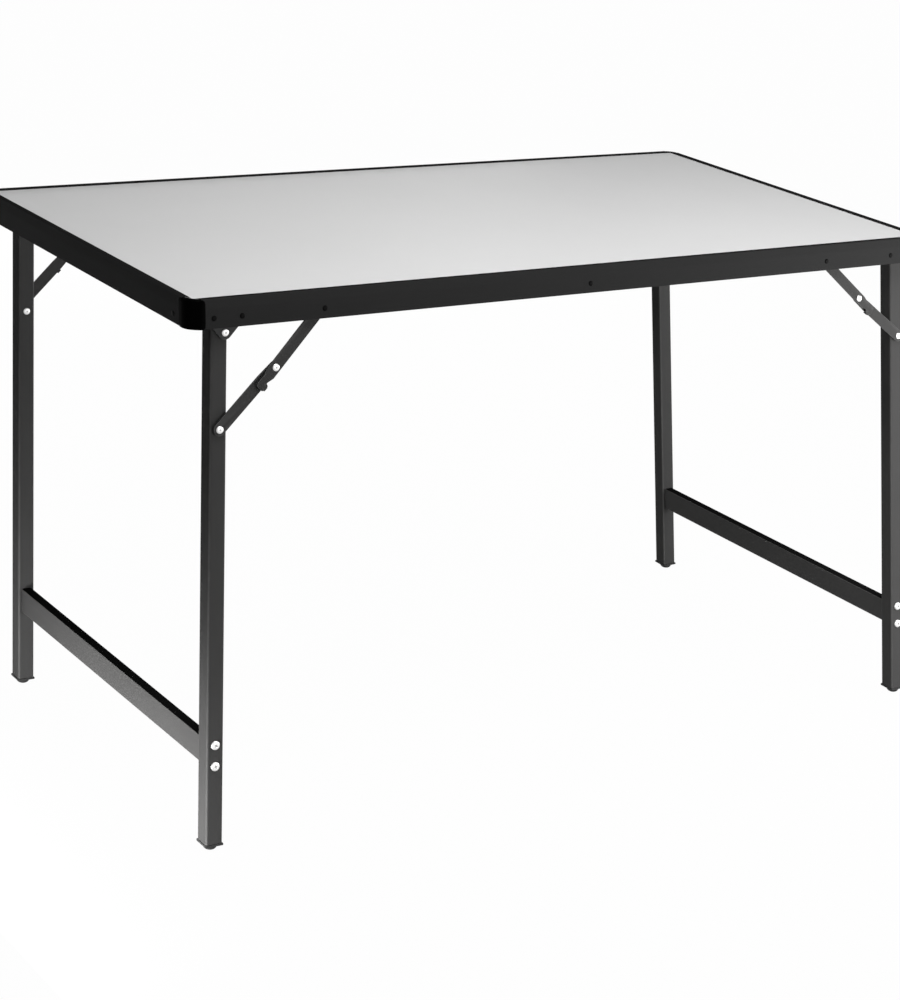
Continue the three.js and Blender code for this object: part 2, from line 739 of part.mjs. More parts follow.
// Knee: domed head, shank through the upper link and a washer that faces the lower link.
function kneeProfile() {
  const washer = layers.upperLink + linkThickness + seatGap;
  const steps = [
    [pinRadius, layers.upperLink - seatGap],
    [pinRadius, washer],
    [headRadius, washer],
    [headRadius, layers.lowerLink - seatGap],
    [0, layers.lowerLink - seatGap],
  ];
  return [
    ...domePoints(layers.upperLink - seatGap, -1, headRadius, headHeight),
    ...steps.map(([radius, y]) => new THREE.Vector2(radius, y)),
  ];
}

function makeStays(end, layout) {
  const inward = -ends[end];
  const at = (point) => [layout.x + inward * point.x, layout.hingeHeight + point.y];
  const bend = layout.upperAngle - layout.lowerAngle - Math.PI;
  const pieces = [];
  for (const [name, side] of Object.entries(sides)) {
    const hand = -side * inward;
    const lower = makeMesh(`stay_lower_${name}_${end}`, lowerLinkGeometry(), 'stay');
    const upperShape = upperLinkGeometry(upperLinkLengths[end], bend, hand);
    const upper = makeMesh(`stay_upper_${name}_${end}`, upperShape, 'stay');
    const links = [
      [lower, layout.legPivot, layout.lowerAngle],
      [upper, layout.railPivot, layout.upperAngle],
    ];
    for (const [mesh, pivot, angle] of links) {
      placeOnSide(mesh, side, ...at(pivot));
      mesh.rotation.order = 'ZYX';
      mesh.rotation.y = -Math.atan2(Math.sin(angle), hand * Math.cos(angle));
      pieces.push(mesh);
    }
    const railRivet = makeMesh(`stay_rail_rivet_${name}_${end}`, turned(railPivotProfile()), 'darkRivet');
    pieces.push(placeOnSide(railRivet, side, ...at(layout.railPivot)));
    const kneeRivet = makeMesh(`stay_knee_rivet_${name}_${end}`, turned(kneeProfile()), 'rivet');
    pieces.push(placeOnSide(kneeRivet, side, ...at(layout.knee)));
  }
  return pieces;
}

const table = new THREE.Group();
table.add(makePanel(), ...makeRails(), ...makeCaps(), makeBrace());
for (const end of Object.keys(ends)) {
  const layout = frameLayout(end);
  table.add(...makeHinges(end, layout), makeLegFrame(end, layout), ...makeStays(end, layout));
}

export default table;
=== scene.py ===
# Folding camping table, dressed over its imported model: a pale laminated top in a dark rimmed
# frame, two splayed leg frames and four jointed stays. Shapes are worked out in millimetres
# from the nearest corner of the top: x inward from its end, y inward from its long side,
# z up from the floor.
import math
import bpy
import numpy as np
from mathutils import Euler, Matrix, Vector


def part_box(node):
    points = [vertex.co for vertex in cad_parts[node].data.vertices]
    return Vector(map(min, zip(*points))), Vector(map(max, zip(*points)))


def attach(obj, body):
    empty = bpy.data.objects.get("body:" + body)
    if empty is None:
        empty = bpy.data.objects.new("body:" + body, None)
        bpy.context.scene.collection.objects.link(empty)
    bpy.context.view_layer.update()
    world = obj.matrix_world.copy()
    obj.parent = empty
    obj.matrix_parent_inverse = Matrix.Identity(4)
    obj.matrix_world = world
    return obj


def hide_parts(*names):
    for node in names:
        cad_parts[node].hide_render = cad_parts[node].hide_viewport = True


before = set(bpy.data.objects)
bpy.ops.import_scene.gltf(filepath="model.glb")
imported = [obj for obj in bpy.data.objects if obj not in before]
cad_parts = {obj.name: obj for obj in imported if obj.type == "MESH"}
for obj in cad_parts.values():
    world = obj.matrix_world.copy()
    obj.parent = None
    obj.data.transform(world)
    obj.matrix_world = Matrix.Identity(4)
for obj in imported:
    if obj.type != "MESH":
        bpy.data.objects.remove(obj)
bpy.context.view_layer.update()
mm = 0.001
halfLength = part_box("rail_right")[1].x / mm
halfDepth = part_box("rail_back")[1].y / mm
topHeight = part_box("rail_front")[1].z / mm
xAxis, yAxis, zAxis = np.eye(3)
ends = {"left": -1, "right": 1}
sides = {"front": -1, "back": 1}
print("frame loaded")


# A number on its way through nodes. Its operators add Math nodes.
class Number:
    def __init__(self, nodes, socket):
        self.nodes = nodes
        self.socket = socket

    def math(self, operation, *values):
        settings = {"operation": operation}
        return self.nodes.number("ShaderNodeMath", settings, dict(enumerate(values)))

    def __add__(self, other):
        return self.math("ADD", self, other)

    def __sub__(self, other):
        return self.math("SUBTRACT", self, other)

    def __rsub__(self, other):
        return self.math("SUBTRACT", other, self)

    def __mul__(self, other):
        return self.math("MULTIPLY", self, other)

    def __pow__(self, other):
        return self.math("POWER", self, other)

    __radd__ = __add__
    __rmul__ = __mul__

    # The greater of two numbers.
    def atLeast(self, other):
        return self.math("MAXIMUM", self, other)

    # Soft step from 0 at the low value to 1 at the high one.
    def step(self, low, high):
        settings = {"interpolation_type": "SMOOTHSTEP"}
        return self.nodes.number("ShaderNodeMapRange", settings, {"Value": self, 1: low, 2: high})


# The nodes of a material or of the world. All of them come from one method.
class Nodes:
    def __init__(self, owner):
        owner.use_nodes = True
        self.tree = owner.node_tree

    def feed(self, socket, value):
        if isinstance(value, Number):
            value = value.socket
        if isinstance(value, bpy.types.NodeSocket):
            self.tree.links.new(value, socket)
        else:
            socket.default_value = value

    def node(self, kind, settings=None, values=None):
        made = self.tree.nodes.new(kind)
        for key, value in (settings or {}).items():
            setattr(made, key, value)
        for key, value in (values or {}).items():
            self.feed(made.inputs[key], value)
        return made

    def number(self, kind, settings=None, values=None, output=0):
        return Number(self, self.node(kind, settings, values).outputs[output])

    # 1 for what the camera, gloss and glass see, 0 for the light that falls on things.
    def seen(self):
        path = self.node("ShaderNodeLightPath")
        camera, gloss, glass = (Number(self, path.outputs[f"Is {ray} Ray"])
                                for ray in ("Camera", "Glossy", "Transmission"))
        return camera.atLeast(gloss).atLeast(glass)


# Faces that look up are made matt and painted darker as shade: heights of their normal from which
# they start and are wholly matt.
topShadeLook = {"start": 0.55, "whole": 0.95, "roughness": 0.7}


# A material in the making, with the record's slot that it belongs to.
class Finish(Nodes):
    def __init__(self, name, slot):
        self.material = bpy.data.materials.new(name)
        super().__init__(self.material)
        self.slot = slot
        self.shader = self.tree.nodes["Principled BSDF"]
        self.place = self.node("ShaderNodeTexCoord").outputs["Object"]

    # Noise from 0 to 1, its scale in steps per metre.
    def noise(self, scale, detail=2.0, stretch=(1, 1, 1)):
        laid = self.node("ShaderNodeMapping", None, {"Vector": self.place, "Scale": stretch})
        values = {"Vector": laid.outputs[0], "Scale": scale, "Detail": detail}
        return self.number("ShaderNodeTexNoise", None, values, "Fac")

    # Weight that the shapes carry: 1 in the middle of a rounded edge or in a dimple, else 0.
    def edge(self):
        return self.number("ShaderNodeAttribute", {"attribute_name": "edge"}, None, "Fac")

    def blend(self, amount, low, high):
        values = {0: amount, 6: low, 7: high}
        return self.node("ShaderNodeMix", {"data_type": "RGBA"}, values).outputs[2]

    def finish(self, colour, roughness, height, bumpSize, **fixed):
        values = {"Strength": 1.0, "Distance": bumpSize, "Height": height}
        bump = self.node("ShaderNodeBump", None, values)
        self.feed(self.shader.inputs["Base Color"], colour)
        self.feed(self.shader.inputs["Roughness"], roughness)
        self.feed(self.shader.inputs["Normal"], bump.outputs["Normal"])
        for key, value in fixed.items():
            self.shader.inputs[key.replace("_", " ")].default_value = value
        return self

    # Lets another shader take over by a weight from 0 to 1.
    def giveWay(self, weight, other):
        values = {0: weight, 1: self.shader.outputs[0], 2: other.outputs[0]}
        mixed = self.node("ShaderNodeMixShader", None, values)
        self.feed(self.tree.nodes["Material Output"].inputs["Surface"], mixed.outputs[0])

    # Faces that look up go over to a second shader without gloss and with a darker grey, a painted
    # shade, by the height of their normal.
    def paintTopShade(self, colour):
        look = topShadeLook
        normal = self.place.node.outputs["Normal"]
        height = self.number("ShaderNodeSeparateXYZ", None, {0: normal}, 2)
        values = {"Base Color": colour, "Roughness": look["roughness"], "Specular IOR Level": 0.0}
        topShader = self.node("ShaderNodeBsdfPrincipled", None, values)
        self.giveWay(height.step(look["start"], look["whole"]), topShader)


def grey(value, warmth=0.0):
    return (value * (1 + warmth), value, value * (1 - warmth), 1)


# Laminate: pale, evenly pebbled, faintly clouded. The bump is in metres.
laminateLook = {
    "pale": 0.66, "cloud": 0.63, "cloudScale": 5, "pebbleScale": 900, "bump": 0.00004,
    "roughness": 0.42, "hazeScale": 40, "haze": 0.06, "rubbedHaze": 0.08, "gloss": 0.01,
}


def laminateFinish():
    look = laminateLook
    made = Finish("paleLaminate", "panel")
    cloud = made.noise(look["cloudScale"], 3)
    pebble = made.noise(look["pebbleScale"], 3)
    colour = made.blend(cloud, grey(look["pale"]), grey(look["cloud"]))
    haze = made.noise(look["hazeScale"]) * look["haze"]
    roughness = look["roughness"] + haze + made.edge() * look["rubbedHaze"]
    return made.finish(colour, roughness, pebble, look["bump"], Specular_IOR_Level=look["gloss"])


# Coated metal: dark base, fine orange peel, faint streaks along the grain, a few pale specks, and
# paler along the rounded edges, partly rubbed wear and partly a painted highlight.
coatLook = {
    "streakScale": 260, "patchScale": 14, "dark": 0.88, "light": 1.12,
    "speckScale": 1500, "speckRange": (0.62, 0.8), "speckLight": 1.9, "speckShare": 0.25,
    "rubScale": 90, "leastRub": 0.55, "rubSpread": 0.5, "rubShare": 0.8,
    "streakHaze": 0.07, "patchHaze": 0.05, "lessHaze": 0.06,
    "peelScale": 700, "peelShare": 0.6, "bump": 0.00003,
}
alongX, alongY, alongZ, evenly = (0.03, 1, 1), (1, 0.03, 1), (1, 1, 0.03), (1, 1, 1)

# The coats: greys of the base, of rubbed edges that also carry a painted highlight, and of the
# painted shade on faces that look up, grain and gloss.
coats = {
    "railLong": {
        "name": "railCoatLong", "slot": "rail", "base": 0.0165, "rubbedAndSheen": 0.024,
        "shadedTops": 0.014, "roughness": 0.42, "grain": alongX, "gloss": 0.015,
    },
    "railShort": {
        "name": "railCoatShort", "slot": "rail", "base": 0.02, "rubbedAndSheen": 0.024,
        "shadedTops": 0.014, "roughness": 0.45, "grain": alongY, "gloss": 0.01,
    },
    "brace": {
        "name": "braceCoat", "slot": "brace", "base": 0.014, "rubbedAndSheen": 0.04,
        "roughness": 0.45, "grain": alongY, "gloss": 0.1,
    },
    "frame": {
        "name": "legCoat", "slot": "frame", "base": 0.044, "rubbedAndSheen": 0.11,
        "roughness": 0.36, "grain": alongZ, "gloss": 0.006, "warmth": 0.01,
    },
    "stretcher": {
        "name": "stretcherCoat", "slot": "frame", "base": 0.05, "rubbedAndSheen": 0.12,
        "shadedTops": 0.007, "roughness": 0.36, "grain": alongY, "gloss": 0.01, "warmth": 0.01,
    },
    "bracket": {
        "name": "bracketCoat", "slot": "bracket", "base": 0.05, "rubbedAndSheen": 0.14,
        "roughness": 0.38, "grain": evenly, "gloss": 0.02,
    },
    "stay": {
        "name": "stayCoat", "slot": "stay", "base": 0.038, "rubbedAndSheen": 0.2,
        "roughness": 0.36, "grain": evenly, "gloss": 0.015, "warmth": 0.01,
    },
    "darkRivet": {
        "name": "studCoat", "slot": "dark_rivet", "base": 0.0015, "rubbedAndSheen": 0.004,
        "roughness": 0.4, "grain": evenly, "gloss": 0.02,
    },
}


def coatFinish(name, slot, base, rubbedAndSheen, roughness, grain, gloss, warmth=0.0, shadedTops=None):
    look = coatLook
    made = Finish(name, slot)
    streak = made.noise(look["streakScale"], 3, grain)
    patch = made.noise(look["patchScale"], 2)
    rubAndSheenAmount = look["leastRub"] + made.noise(look["rubScale"], 3) * look["rubSpread"]
    # The paler rounded edges are partly rubbed wear and partly a painted highlight.
    rub = made.edge() ** 2 * rubAndSheenAmount
    speck = made.noise(look["speckScale"], 1).step(*look["speckRange"])
    dark, light = grey(base * look["dark"], warmth), grey(base * look["light"], warmth)
    shade = made.blend(streak * 0.5 + patch * 0.5, dark, light)
    pale = grey(base * look["speckLight"], warmth)
    shade = made.blend(speck * look["speckShare"], shade, pale)
    colour = made.blend(rub * look["rubShare"], shade, grey(rubbedAndSheen, warmth))
    haze = streak * look["streakHaze"]
    rough = roughness + haze + patch * look["patchHaze"] - look["lessHaze"]
    peel = made.noise(look["peelScale"], 2) * look["peelShare"]
    height = peel + streak * (1 - look["peelShare"])
    made.finish(colour, rough, height, look["bump"], Specular_IOR_Level=gloss)
    # Faces that look up get a painted shade, a darker grey without gloss.
    if shadedTops is not None:
        made.paintTopShade(grey(shadedTops))
    return made


# Moulded plastic: near black, matt grain, paler in places along rubbed edges.
plasticLook = {
    "cloudScale": 30, "dark": 0.8, "light": 1.2, "rubScale": 160, "rubRange": (0.4, 0.7),
    "rubShare": 0.5, "rubLight": 2.2, "hazeScale": 60, "haze": 0.1, "bump": 0.00006,
}


def plasticFinish(name, slot, base, roughness, grainScale, gloss):
    look = plasticLook
    made = Finish(name, slot)
    cloud = made.noise(look["cloudScale"], 3)
    colour = made.blend(cloud, grey(base * look["dark"]), grey(base * look["light"]))
    rub = made.edge() * made.noise(look["rubScale"]).step(*look["rubRange"]) * look["rubShare"]
    colour = made.blend(rub, colour, grey(base * look["rubLight"]))
    rough = roughness + made.noise(look["hazeScale"]) * look["haze"] - look["haze"] / 2
    grain = made.noise(grainScale, 3)
    return made.finish(colour, rough, grain, look["bump"], Specular_IOR_Level=gloss)


# Bare bright metal: pressed heads with faint tool marks and handling haze, and a painted shade,
# dark and dull, where the shape's weight marks a dimple or a recess.
brightLook = {
    "markScale": 900, "markStretch": (1, 0.2, 1), "hazeScale": 220, "dark": 0.93,
    "darkWarmth": 0.01, "warmth": 0.004, "recessShade": 0.16, "recessShadeShare": 0.85,
    "haze": 0.12, "markHaze": 0.08, "recessHaze": 0.25, "lessHaze": 0.08, "bump": 0.00002,
}


def brightFinish(name, slot, base, roughness):
    look = brightLook
    made = Finish(name, slot)
    marks = made.noise(look["markScale"], 3, look["markStretch"])
    haze = made.noise(look["hazeScale"], 2)
    dark, bright = grey(base * look["dark"], look["darkWarmth"]), grey(base, look["warmth"])
    colour = made.blend(haze, dark, bright)
    # Dimples and recesses are painted darker and duller, a painted shade.
    colour = made.blend(made.edge() * look["recessShadeShare"], colour, grey(look["recessShade"]))
    rough = roughness + haze * look["haze"] + marks * look["markHaze"]
    rough = rough + made.edge() * look["recessHaze"] - look["lessHaze"]
    return made.finish(colour, rough, marks, look["bump"], Metallic=1.0)


def makeFinishes():
    made = {"panel": laminateFinish()}
    for key, coat in coats.items():
        made[key] = coatFinish(**coat)
    made["cap"] = plasticFinish("capPlastic", "cap", base=0.0004, roughness=0.35,
                                grainScale=900, gloss=0.006)
    made["foot"] = plasticFinish("footPlastic", "foot", base=0.03, roughness=0.45,
                                 grainScale=700, gloss=0.05)
    made["rivet"] = brightFinish("rivetMetal", "rivet", base=0.64, roughness=0.42)
    made["screw"] = brightFinish("screwMetal", "rivet", base=0.72, roughness=0.42)
    return made


finishes = makeFinishes()
print("finishes made")


def unit(vectors):
    return vectors / np.linalg.norm(vectors, axis=-1, keepdims=True)


# How finely shapes are cut: points of a corner's arc, rings of a plate's rim and of a dome, columns
# of a turned shape, the flat strip kept beside each rounding, and the angle in degrees past which
# an edge stays sharp. Bends with a radius past "broad" are too broad to rub, and get no painted
# edge highlight. A turned shape starts at a pinhole, and a dome a small angle in radians past its
# pole, because a point would leave its faces without area.
fineness = {
    "arc": 6, "rim": 5, "block": 4, "dome": 12, "columns": 40, "strip": 0.15, "sharp": 38,
    "broad": 12, "pinhole": 0.1, "poleTurn": 0.03,
}


# Rounds the corners of a closed outline. A corner's arc touches both its sides: its centre
# lies radius / sin(half angle) along the bisector, and its points turn from one touching
# point to the other. One more point on each side keeps the flats flat. The weight follows
# sin(pi * share of the arc).
def rounded(corners, radii, steps=fineness["arc"], strip=fineness["strip"]):
    corners = np.asarray(corners, float)
    radii = np.broadcast_to(np.asarray(radii, float), len(corners))[:, None]
    back = unit(np.roll(corners, 1, 0) - corners)
    ahead = unit(np.roll(corners, -1, 0) - corners)
    half = np.arccos(np.clip((back * ahead).sum(1), -1, 1))[:, None] / 2
    reach = radii / np.tan(half)
    centre = corners + unit(back + ahead) * radii / np.sin(half)
    start, stop = corners + back * reach - centre, corners + ahead * reach - centre
    turn, share = math.pi - 2 * half, np.linspace(0, 1, steps)
    arc = (np.sin((1 - share) * turn)[..., None] * start[:, None]
           + np.sin(share * turn)[..., None] * stop[:, None]) / np.sin(turn)[..., None]
    first = start[:, None] + back[:, None] * strip
    last = stop[:, None] + ahead[:, None] * strip
    points = centre[:, None] + np.concatenate([first, arc, last], 1)
    weight = np.concatenate([[0], np.sin(math.pi * share), [0]]) * (radii < fineness["broad"])
    return points.reshape(-1, 2), weight.reshape(-1)


def box2(low, high):
    return [(low[0], low[1]), (high[0], low[1]), (high[0], high[1]), (low[0], high[1])]


# An outline at one distance along the third axis.
def ring(points, distance):
    return np.column_stack([points, np.full(len(points), distance)])


# A skin is rings of points (rings, columns, 3), a weight for each, and whether the last ring
# joins the first. Its first two axes here are an outline's, the third is the distance.
def prism(outline, stops):
    points, weight = outline
    return np.array([ring(points, stop) for stop in stops]), np.tile(weight, (len(stops), 1)), False


# Tube: out along the outer outline and back along the inner one.
def tube(outer, inner, start, stop):
    path = [(outer, start), (outer, stop), (inner, stop), (inner, start)]
    points = np.array([ring(shape[0], at) for shape, at in path])
    return points, np.array([shape[1] for shape, at in path]), True


# Plate with rounded rims: the outline is drawn in along its normals by ease * (1 - sin t) at a
# distance of ease * (1 - cos t) from each face, over a quarter turn of t. Its upright corners carry
# less rubbing and less painted edge highlight than its rims.
cornerRubAndSheen = 0.6


def plate(outline, thickness, ease, steps=fineness["rim"]):
    points, weight = outline
    ahead = np.roll(points, -1, 0)
    along = ahead - np.roll(points, 1, 0)
    normal = unit(np.column_stack([along[:, 1], -along[:, 0]]))
    area = (points[:, 0] * ahead[:, 1] - points[:, 1] * ahead[:, 0]).sum()
    turn = np.linspace(0, math.pi / 2, steps)
    inset = np.concatenate([[ease + fineness["strip"]], ease * (1 - np.sin(turn))])
    rise = np.concatenate([[0], ease * (1 - np.cos(turn))])
    inset = np.concatenate([inset, inset[::-1]])[:, None, None]
    at = np.concatenate([rise, thickness - rise[::-1]])
    drawn = points[None] - normal[None] * inset * np.sign(area)
    distance = np.broadcast_to(at[:, None, None], (len(at), len(points), 1))
    rim = np.concatenate([[0], np.sin(2 * turn)])
    edge = np.maximum(np.concatenate([rim, rim[::-1]])[:, None], weight[None] * cornerRubAndSheen)
    return np.concatenate([drawn, distance], 2), edge, False


# Profile of (radius, distance) turned about the third axis.
def turned(profile, steps=fineness["columns"], edge=None):
    profile = np.asarray(profile, float)
    turn = np.linspace(0, 2 * math.pi, steps, endpoint=False)
    across = profile[:, :1] * np.cos(turn)
    aside = profile[:, :1] * np.sin(turn)
    distance = np.broadcast_to(profile[:, 1:], across.shape)
    weight = np.zeros(len(profile)) if edge is None else np.asarray(edge)
    return np.stack([across, aside, distance], 2), np.tile(weight[:, None], steps), False


# Sets a skin in place: point = origin + a * across + b * aside + c * along.
def lay(skin, origin, across=xAxis, aside=yAxis, along=zAxis):
    points, edge, looped = skin
    return np.asarray(origin, float) + points @ np.array([across, aside, along]), edge, looped


# Stands a skin up behind the rail: its third axis runs inward from the long side.
def stand(skin, x, z, depth=0):
    return lay(skin, (x, depth, z), xAxis, zAxis, yAxis)


# Block between two corners, with all its edges rounded, the upright ones a little more.
def block(low, high, ease=0.4, more=0.2):
    steps = fineness["block"]
    outline = rounded(box2(low[:2], high[:2]), ease + more, steps)
    return lay(plate(outline, high[2] - low[2], ease, steps), (0, 0, low[2]))


# Dome from its pole to its rim: radius * sin t, and height * cos t above the rim's level, with
# a shallow dimple of depth * exp(-(radius / width)^2) round the pole.
dimpleWidth, recessShadeWidth = 1.2, 1.7


def dome(level, direction, radius, height, dimple=0.0):
    turn = np.linspace(fineness["poleTurn"], math.pi / 2, fineness["dome"])
    out = radius * np.sin(turn)
    rise = height * np.cos(turn) - dimple * np.exp(-(out / dimpleWidth) ** 2)
    return np.column_stack([out, level + direction * rise])


# Turned shape whose weight marks the painted shade in its dimples, exp(-(radius / width)^2).
def dimpled(profile):
    profile = np.asarray(profile, float)
    return turned(profile, edge=np.exp(-(profile[:, 0] / recessShadeWidth) ** 2))


# One mesh from skins, riding on a body: millimetres from a corner become metres from the
# middle, quads join neighbouring rings and columns, lids close the ends of a skin that isn't
# looped, and a skin whose volume comes out negative has its faces turned round.
def gather(name, skins, finish, body, nodes, end=-1, side=-1):
    points, faces, edges, count = [], [], [], 0
    for grid, edge, looped in skins:
        x, y, z = np.moveaxis(grid, -1, 0)
        world = np.stack([end * (halfLength - x), side * (halfDepth - y), z], -1)
        world = world.reshape(-1, 3) * mm
        index = np.arange(len(world)).reshape(grid.shape[:2])
        near = index if looped else index[:-1]
        far = np.roll(index, -1, 0) if looped else index[1:]
        quads = np.stack([near, np.roll(near, -1, 1), np.roll(far, -1, 1), far], -1)
        quads = quads.reshape(-1, 4)
        lids = [] if looped else [index[0][::-1], index[-1]]
        fans = [np.column_stack([np.full(len(lid) - 2, lid[0]), lid[1:-1], lid[2:]])
                for lid in lids]
        corners = np.concatenate([quads[:, :3], quads[:, [0, 2, 3]], *fans])
        a, b, c = (world[corners[:, i]] for i in range(3))
        turn = 1 if (a * np.cross(b, c)).sum() > 0 else -1
        faces += (quads[:, ::turn] + count).tolist()
        faces += [(lid[::turn] + count).tolist() for lid in lids]
        points.append(world)
        edges.append(np.asarray(edge).reshape(-1))
        count += len(world)
    mesh = bpy.data.meshes.new(name)
    mesh.from_pydata(np.concatenate(points).tolist(), [], faces)
    weights = mesh.attributes.new("edge", "FLOAT", "POINT").data
    weights.foreach_set("value", np.concatenate(edges))
    mesh.shade_smooth()
    mesh.set_sharp_from_angle(angle=math.radians(fineness["sharp"]))
    mesh.materials.append(finishes[finish].material)
    piece = bpy.data.objects.new(name, mesh)
    bpy.context.scene.collection.objects.link(piece)
    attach(piece, body)
    if nodes:
        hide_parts(*nodes)


# Rail section, as depth and height below the top: outer wall that leans in a little towards
# the rim, rim, ledge under the panel. The radii follow the outline's corners. The short rails'
# rim is a little wider.
widerEnd = 2
railLook = {
    "longStart": 17.6, "shortStart": 18.6, "drop": 37, "wall": 1.6, "rim": 8,
    "ledge": 22, "ledgeTop": 10.3, "ledgeBottom": 11.8, "lean": 1.2, "leanDrop": 12,
    "radii": (0.55, 45, 1.6, 0.7, 0.3, 0.6, 0.6, 0.3, 0.4, 0.4, 0.55), "arc": 7,
}


def railOutline(wider=0):
    look = railLook
    wall, ledge, inner = look["wall"], look["ledge"], look["rim"] + wider
    drop, ledgeTop, ledgeBottom = look["drop"], look["ledgeTop"], look["ledgeBottom"]
    corners = [
        (0, -drop), (0, -look["leanDrop"]), (look["lean"], 0), (inner, 0),
        (inner, -ledgeTop), (ledge, -ledgeTop), (ledge, -ledgeBottom),
        (inner - wall, -ledgeBottom), (inner - wall, -wall), (wall, -wall), (wall, -drop),
    ]
    return rounded(corners, look["radii"], look["arc"])


def makeRails():
    origin = (0, 0, topHeight)
    start = railLook["longStart"]
    long = prism(railOutline(), [start, 2 * halfLength - start])
    long = lay(long, origin, yAxis, zAxis, xAxis)
    start = railLook["shortStart"]
    short = prism(railOutline(widerEnd), [start, 2 * halfDepth - start])
    short = lay(short, origin, xAxis, zAxis, yAxis)
    for name, side in sides.items():
        gather(f"rim_rail_{name}", [long], "railLong", "tabletop", [f"rail_{name}"], -1, side)
    for name, end in ends.items():
        gather(f"rim_rail_{name}", [short], "railShort", "tabletop", [f"rail_{name}"], end, -1)


# Panel in its rim.
panelLook = {"gap": 0.3, "top": 698, "thickness": 8, "corner": 1.0, "arc": 5, "ease": 0.6}


def makePanel():
    look = panelLook
    near = (railLook["rim"] + widerEnd + look["gap"], railLook["rim"] + look["gap"])
    far = (2 * halfLength - near[0], 2 * halfDepth - near[1])
    outline = rounded(box2(near, far), look["corner"], look["arc"])
    slab = plate(outline, look["thickness"], look["ease"])
    skin = lay(slab, (0, 0, look["top"] - look["thickness"]))
    gather("laminated_top", [skin], "panel", "tabletop", ["tabletop_panel"])


# Corner cap. A section at a depth d inside the faces follows a straight line up to d + r from
# the corner and then the arc of radius r that touches both faces,
# y = d + r - sqrt(r^2 - (d + r - x)^2), as far as the diagonal. The radius shrinks to a square
# corner at the rim's inner side. Past the whole section only a thin lip goes on, outside the
# rails. Within a corner radius c of the lip's end, at a distance e from it, its top and bottom
# draw in by c - sqrt(c^2 - (c - e)^2), and its face by "thin" over the last "thinRun". Lengths
# of the lip and of the whole section are for the long and the short side.
capLook = {
    "proud": 0.8, "radius": 19, "square": 0.3, "drop": 37.3, "rim": 8, "wall": 1.6,
    "ledge": 13, "ledgeTop": 10.3, "ledgeBottom": 11.8, "wholes": (15, 18), "join": 0.05,
    "radii": (0.7, 5, 1.0, 0.3, 0.5, 0.5, 0.4, 0.7), "arc": 9, "bendRings": 12, "bendCrowd": 1.5,
    "lips": (20.2, 25.2), "lipCorner": 5.5, "lipTop": 0.6, "lipBack": 0.06,
    "lipRings": (0, 0.3, 0.8, 1.6, 2.6, 3.8), "thin": 0.4, "thinRun": 0.8,
    "tongueStart": 21, "tongue": 52, "lug": 60, "lugHeight": 16, "lugDepth": 2.5,
    "clear": 0.3, "studInset": 40, "studDrop": 25.5,
}


# Half of the cap, from the lip's end to the diagonal, as distance along the face, depth, height.
def capHalf(outline, lip, whole):
    look = capLook
    proud, radius, corner = look["proud"], look["radius"], look["lipCorner"]
    depth, height = outline[:, 0], outline[:, 1]
    bend = np.interp(depth, [-proud, look["wall"], look["rim"]],
                     [radius + proud, radius - look["wall"], look["square"]])
    centre = depth + bend
    diagonal = centre - bend * math.sqrt(0.5)
    lipEnds = np.append(lip - np.array(look["lipRings"]), whole + look["join"])
    toEnd = lip - lipEnds
    short = corner - np.minimum(toEnd, corner)
    draw = (corner - np.sqrt(corner ** 2 - short ** 2))[:, None]
    thinned = look["thin"] * np.maximum(1 - toEnd / look["thinRun"], 0)
    lipDepth = np.clip(depth, (thinned - proud)[:, None], -look["lipBack"])
    lipHeight = np.clip(height, draw - look["drop"], -draw - look["lipTop"])
    share = np.linspace(1, 0, look["bendRings"])[:, None] ** look["bendCrowd"]
    shape = (len(share), len(depth))
    along = np.concatenate([np.broadcast_to(lipEnds[:, None], lipDepth.shape),
                            diagonal + (whole - diagonal) * share])
    inward = np.concatenate([lipDepth, np.broadcast_to(depth, shape)])
    centre = np.where(np.arange(len(along))[:, None] < len(lipEnds), radius, centre)
    over = np.maximum(centre - along, 0)
    away = centre - np.sqrt((centre - inward) ** 2 - over ** 2)
    heights = np.concatenate([lipHeight, np.broadcast_to(height, shape)])
    return np.stack([along, away, heights], 2)


def capSkins():
    look = capLook
    proud, drop, wall, rim = look["proud"], look["drop"], look["wall"], look["rim"]
    ledge, ledgeTop, ledgeBottom = look["ledge"], look["ledgeTop"], look["ledgeBottom"]
    corners = [
        (-proud, -drop), (-proud, 0), (rim, 0), (rim, -ledgeTop), (ledge, -ledgeTop),
        (ledge, -ledgeBottom), (wall, -ledgeBottom), (wall, -drop),
    ]
    outline, weight = rounded(corners, look["radii"], look["arc"])
    long, short = (capHalf(outline, lip, whole)
                   for lip, whole in zip(look["lips"], look["wholes"]))
    rings = np.concatenate([long, short[::-1][1:, :, [1, 0, 2]]])
    rings[..., 0] += widerEnd * np.clip((rings[..., 0] - wall) / (rim - wall), 0, 1)
    shell = lay((rings, np.tile(weight, (len(rings), 1)), False), (0, 0, topHeight))
    low, top = wall + look["clear"], topHeight - wall - look["clear"]
    high = rim - wall - look["clear"]
    bottom = topHeight - ledgeBottom + look["clear"]
    start, far = look["tongueStart"], look["tongue"]
    middle, half = topHeight - look["studDrop"], look["lugHeight"] / 2
    return [
        shell,
        block((start, low, bottom), (far, high, top)),
        block((low, start, bottom), (high, far, top)),
        block((low, start, middle - half), (low + look["lugDepth"], look["lug"], middle + half)),
    ]


def makeCaps():
    skins = capSkins()
    for sideName, side in sides.items():
        for endName, end in ends.items():
            name = f"{sideName}_{endName}"
            node = f"corner_cap_{name}"
            gather(f"moulded_corner_{name}", skins, "cap", "tabletop", [node], end, side)


# Bar that ties the long rails, with a tab at each end.
braceLook = {"width": 40, "thickness": 3, "top": 687.9, "wall": 1.9, "tabBottom": 669, "ease": 0.6}


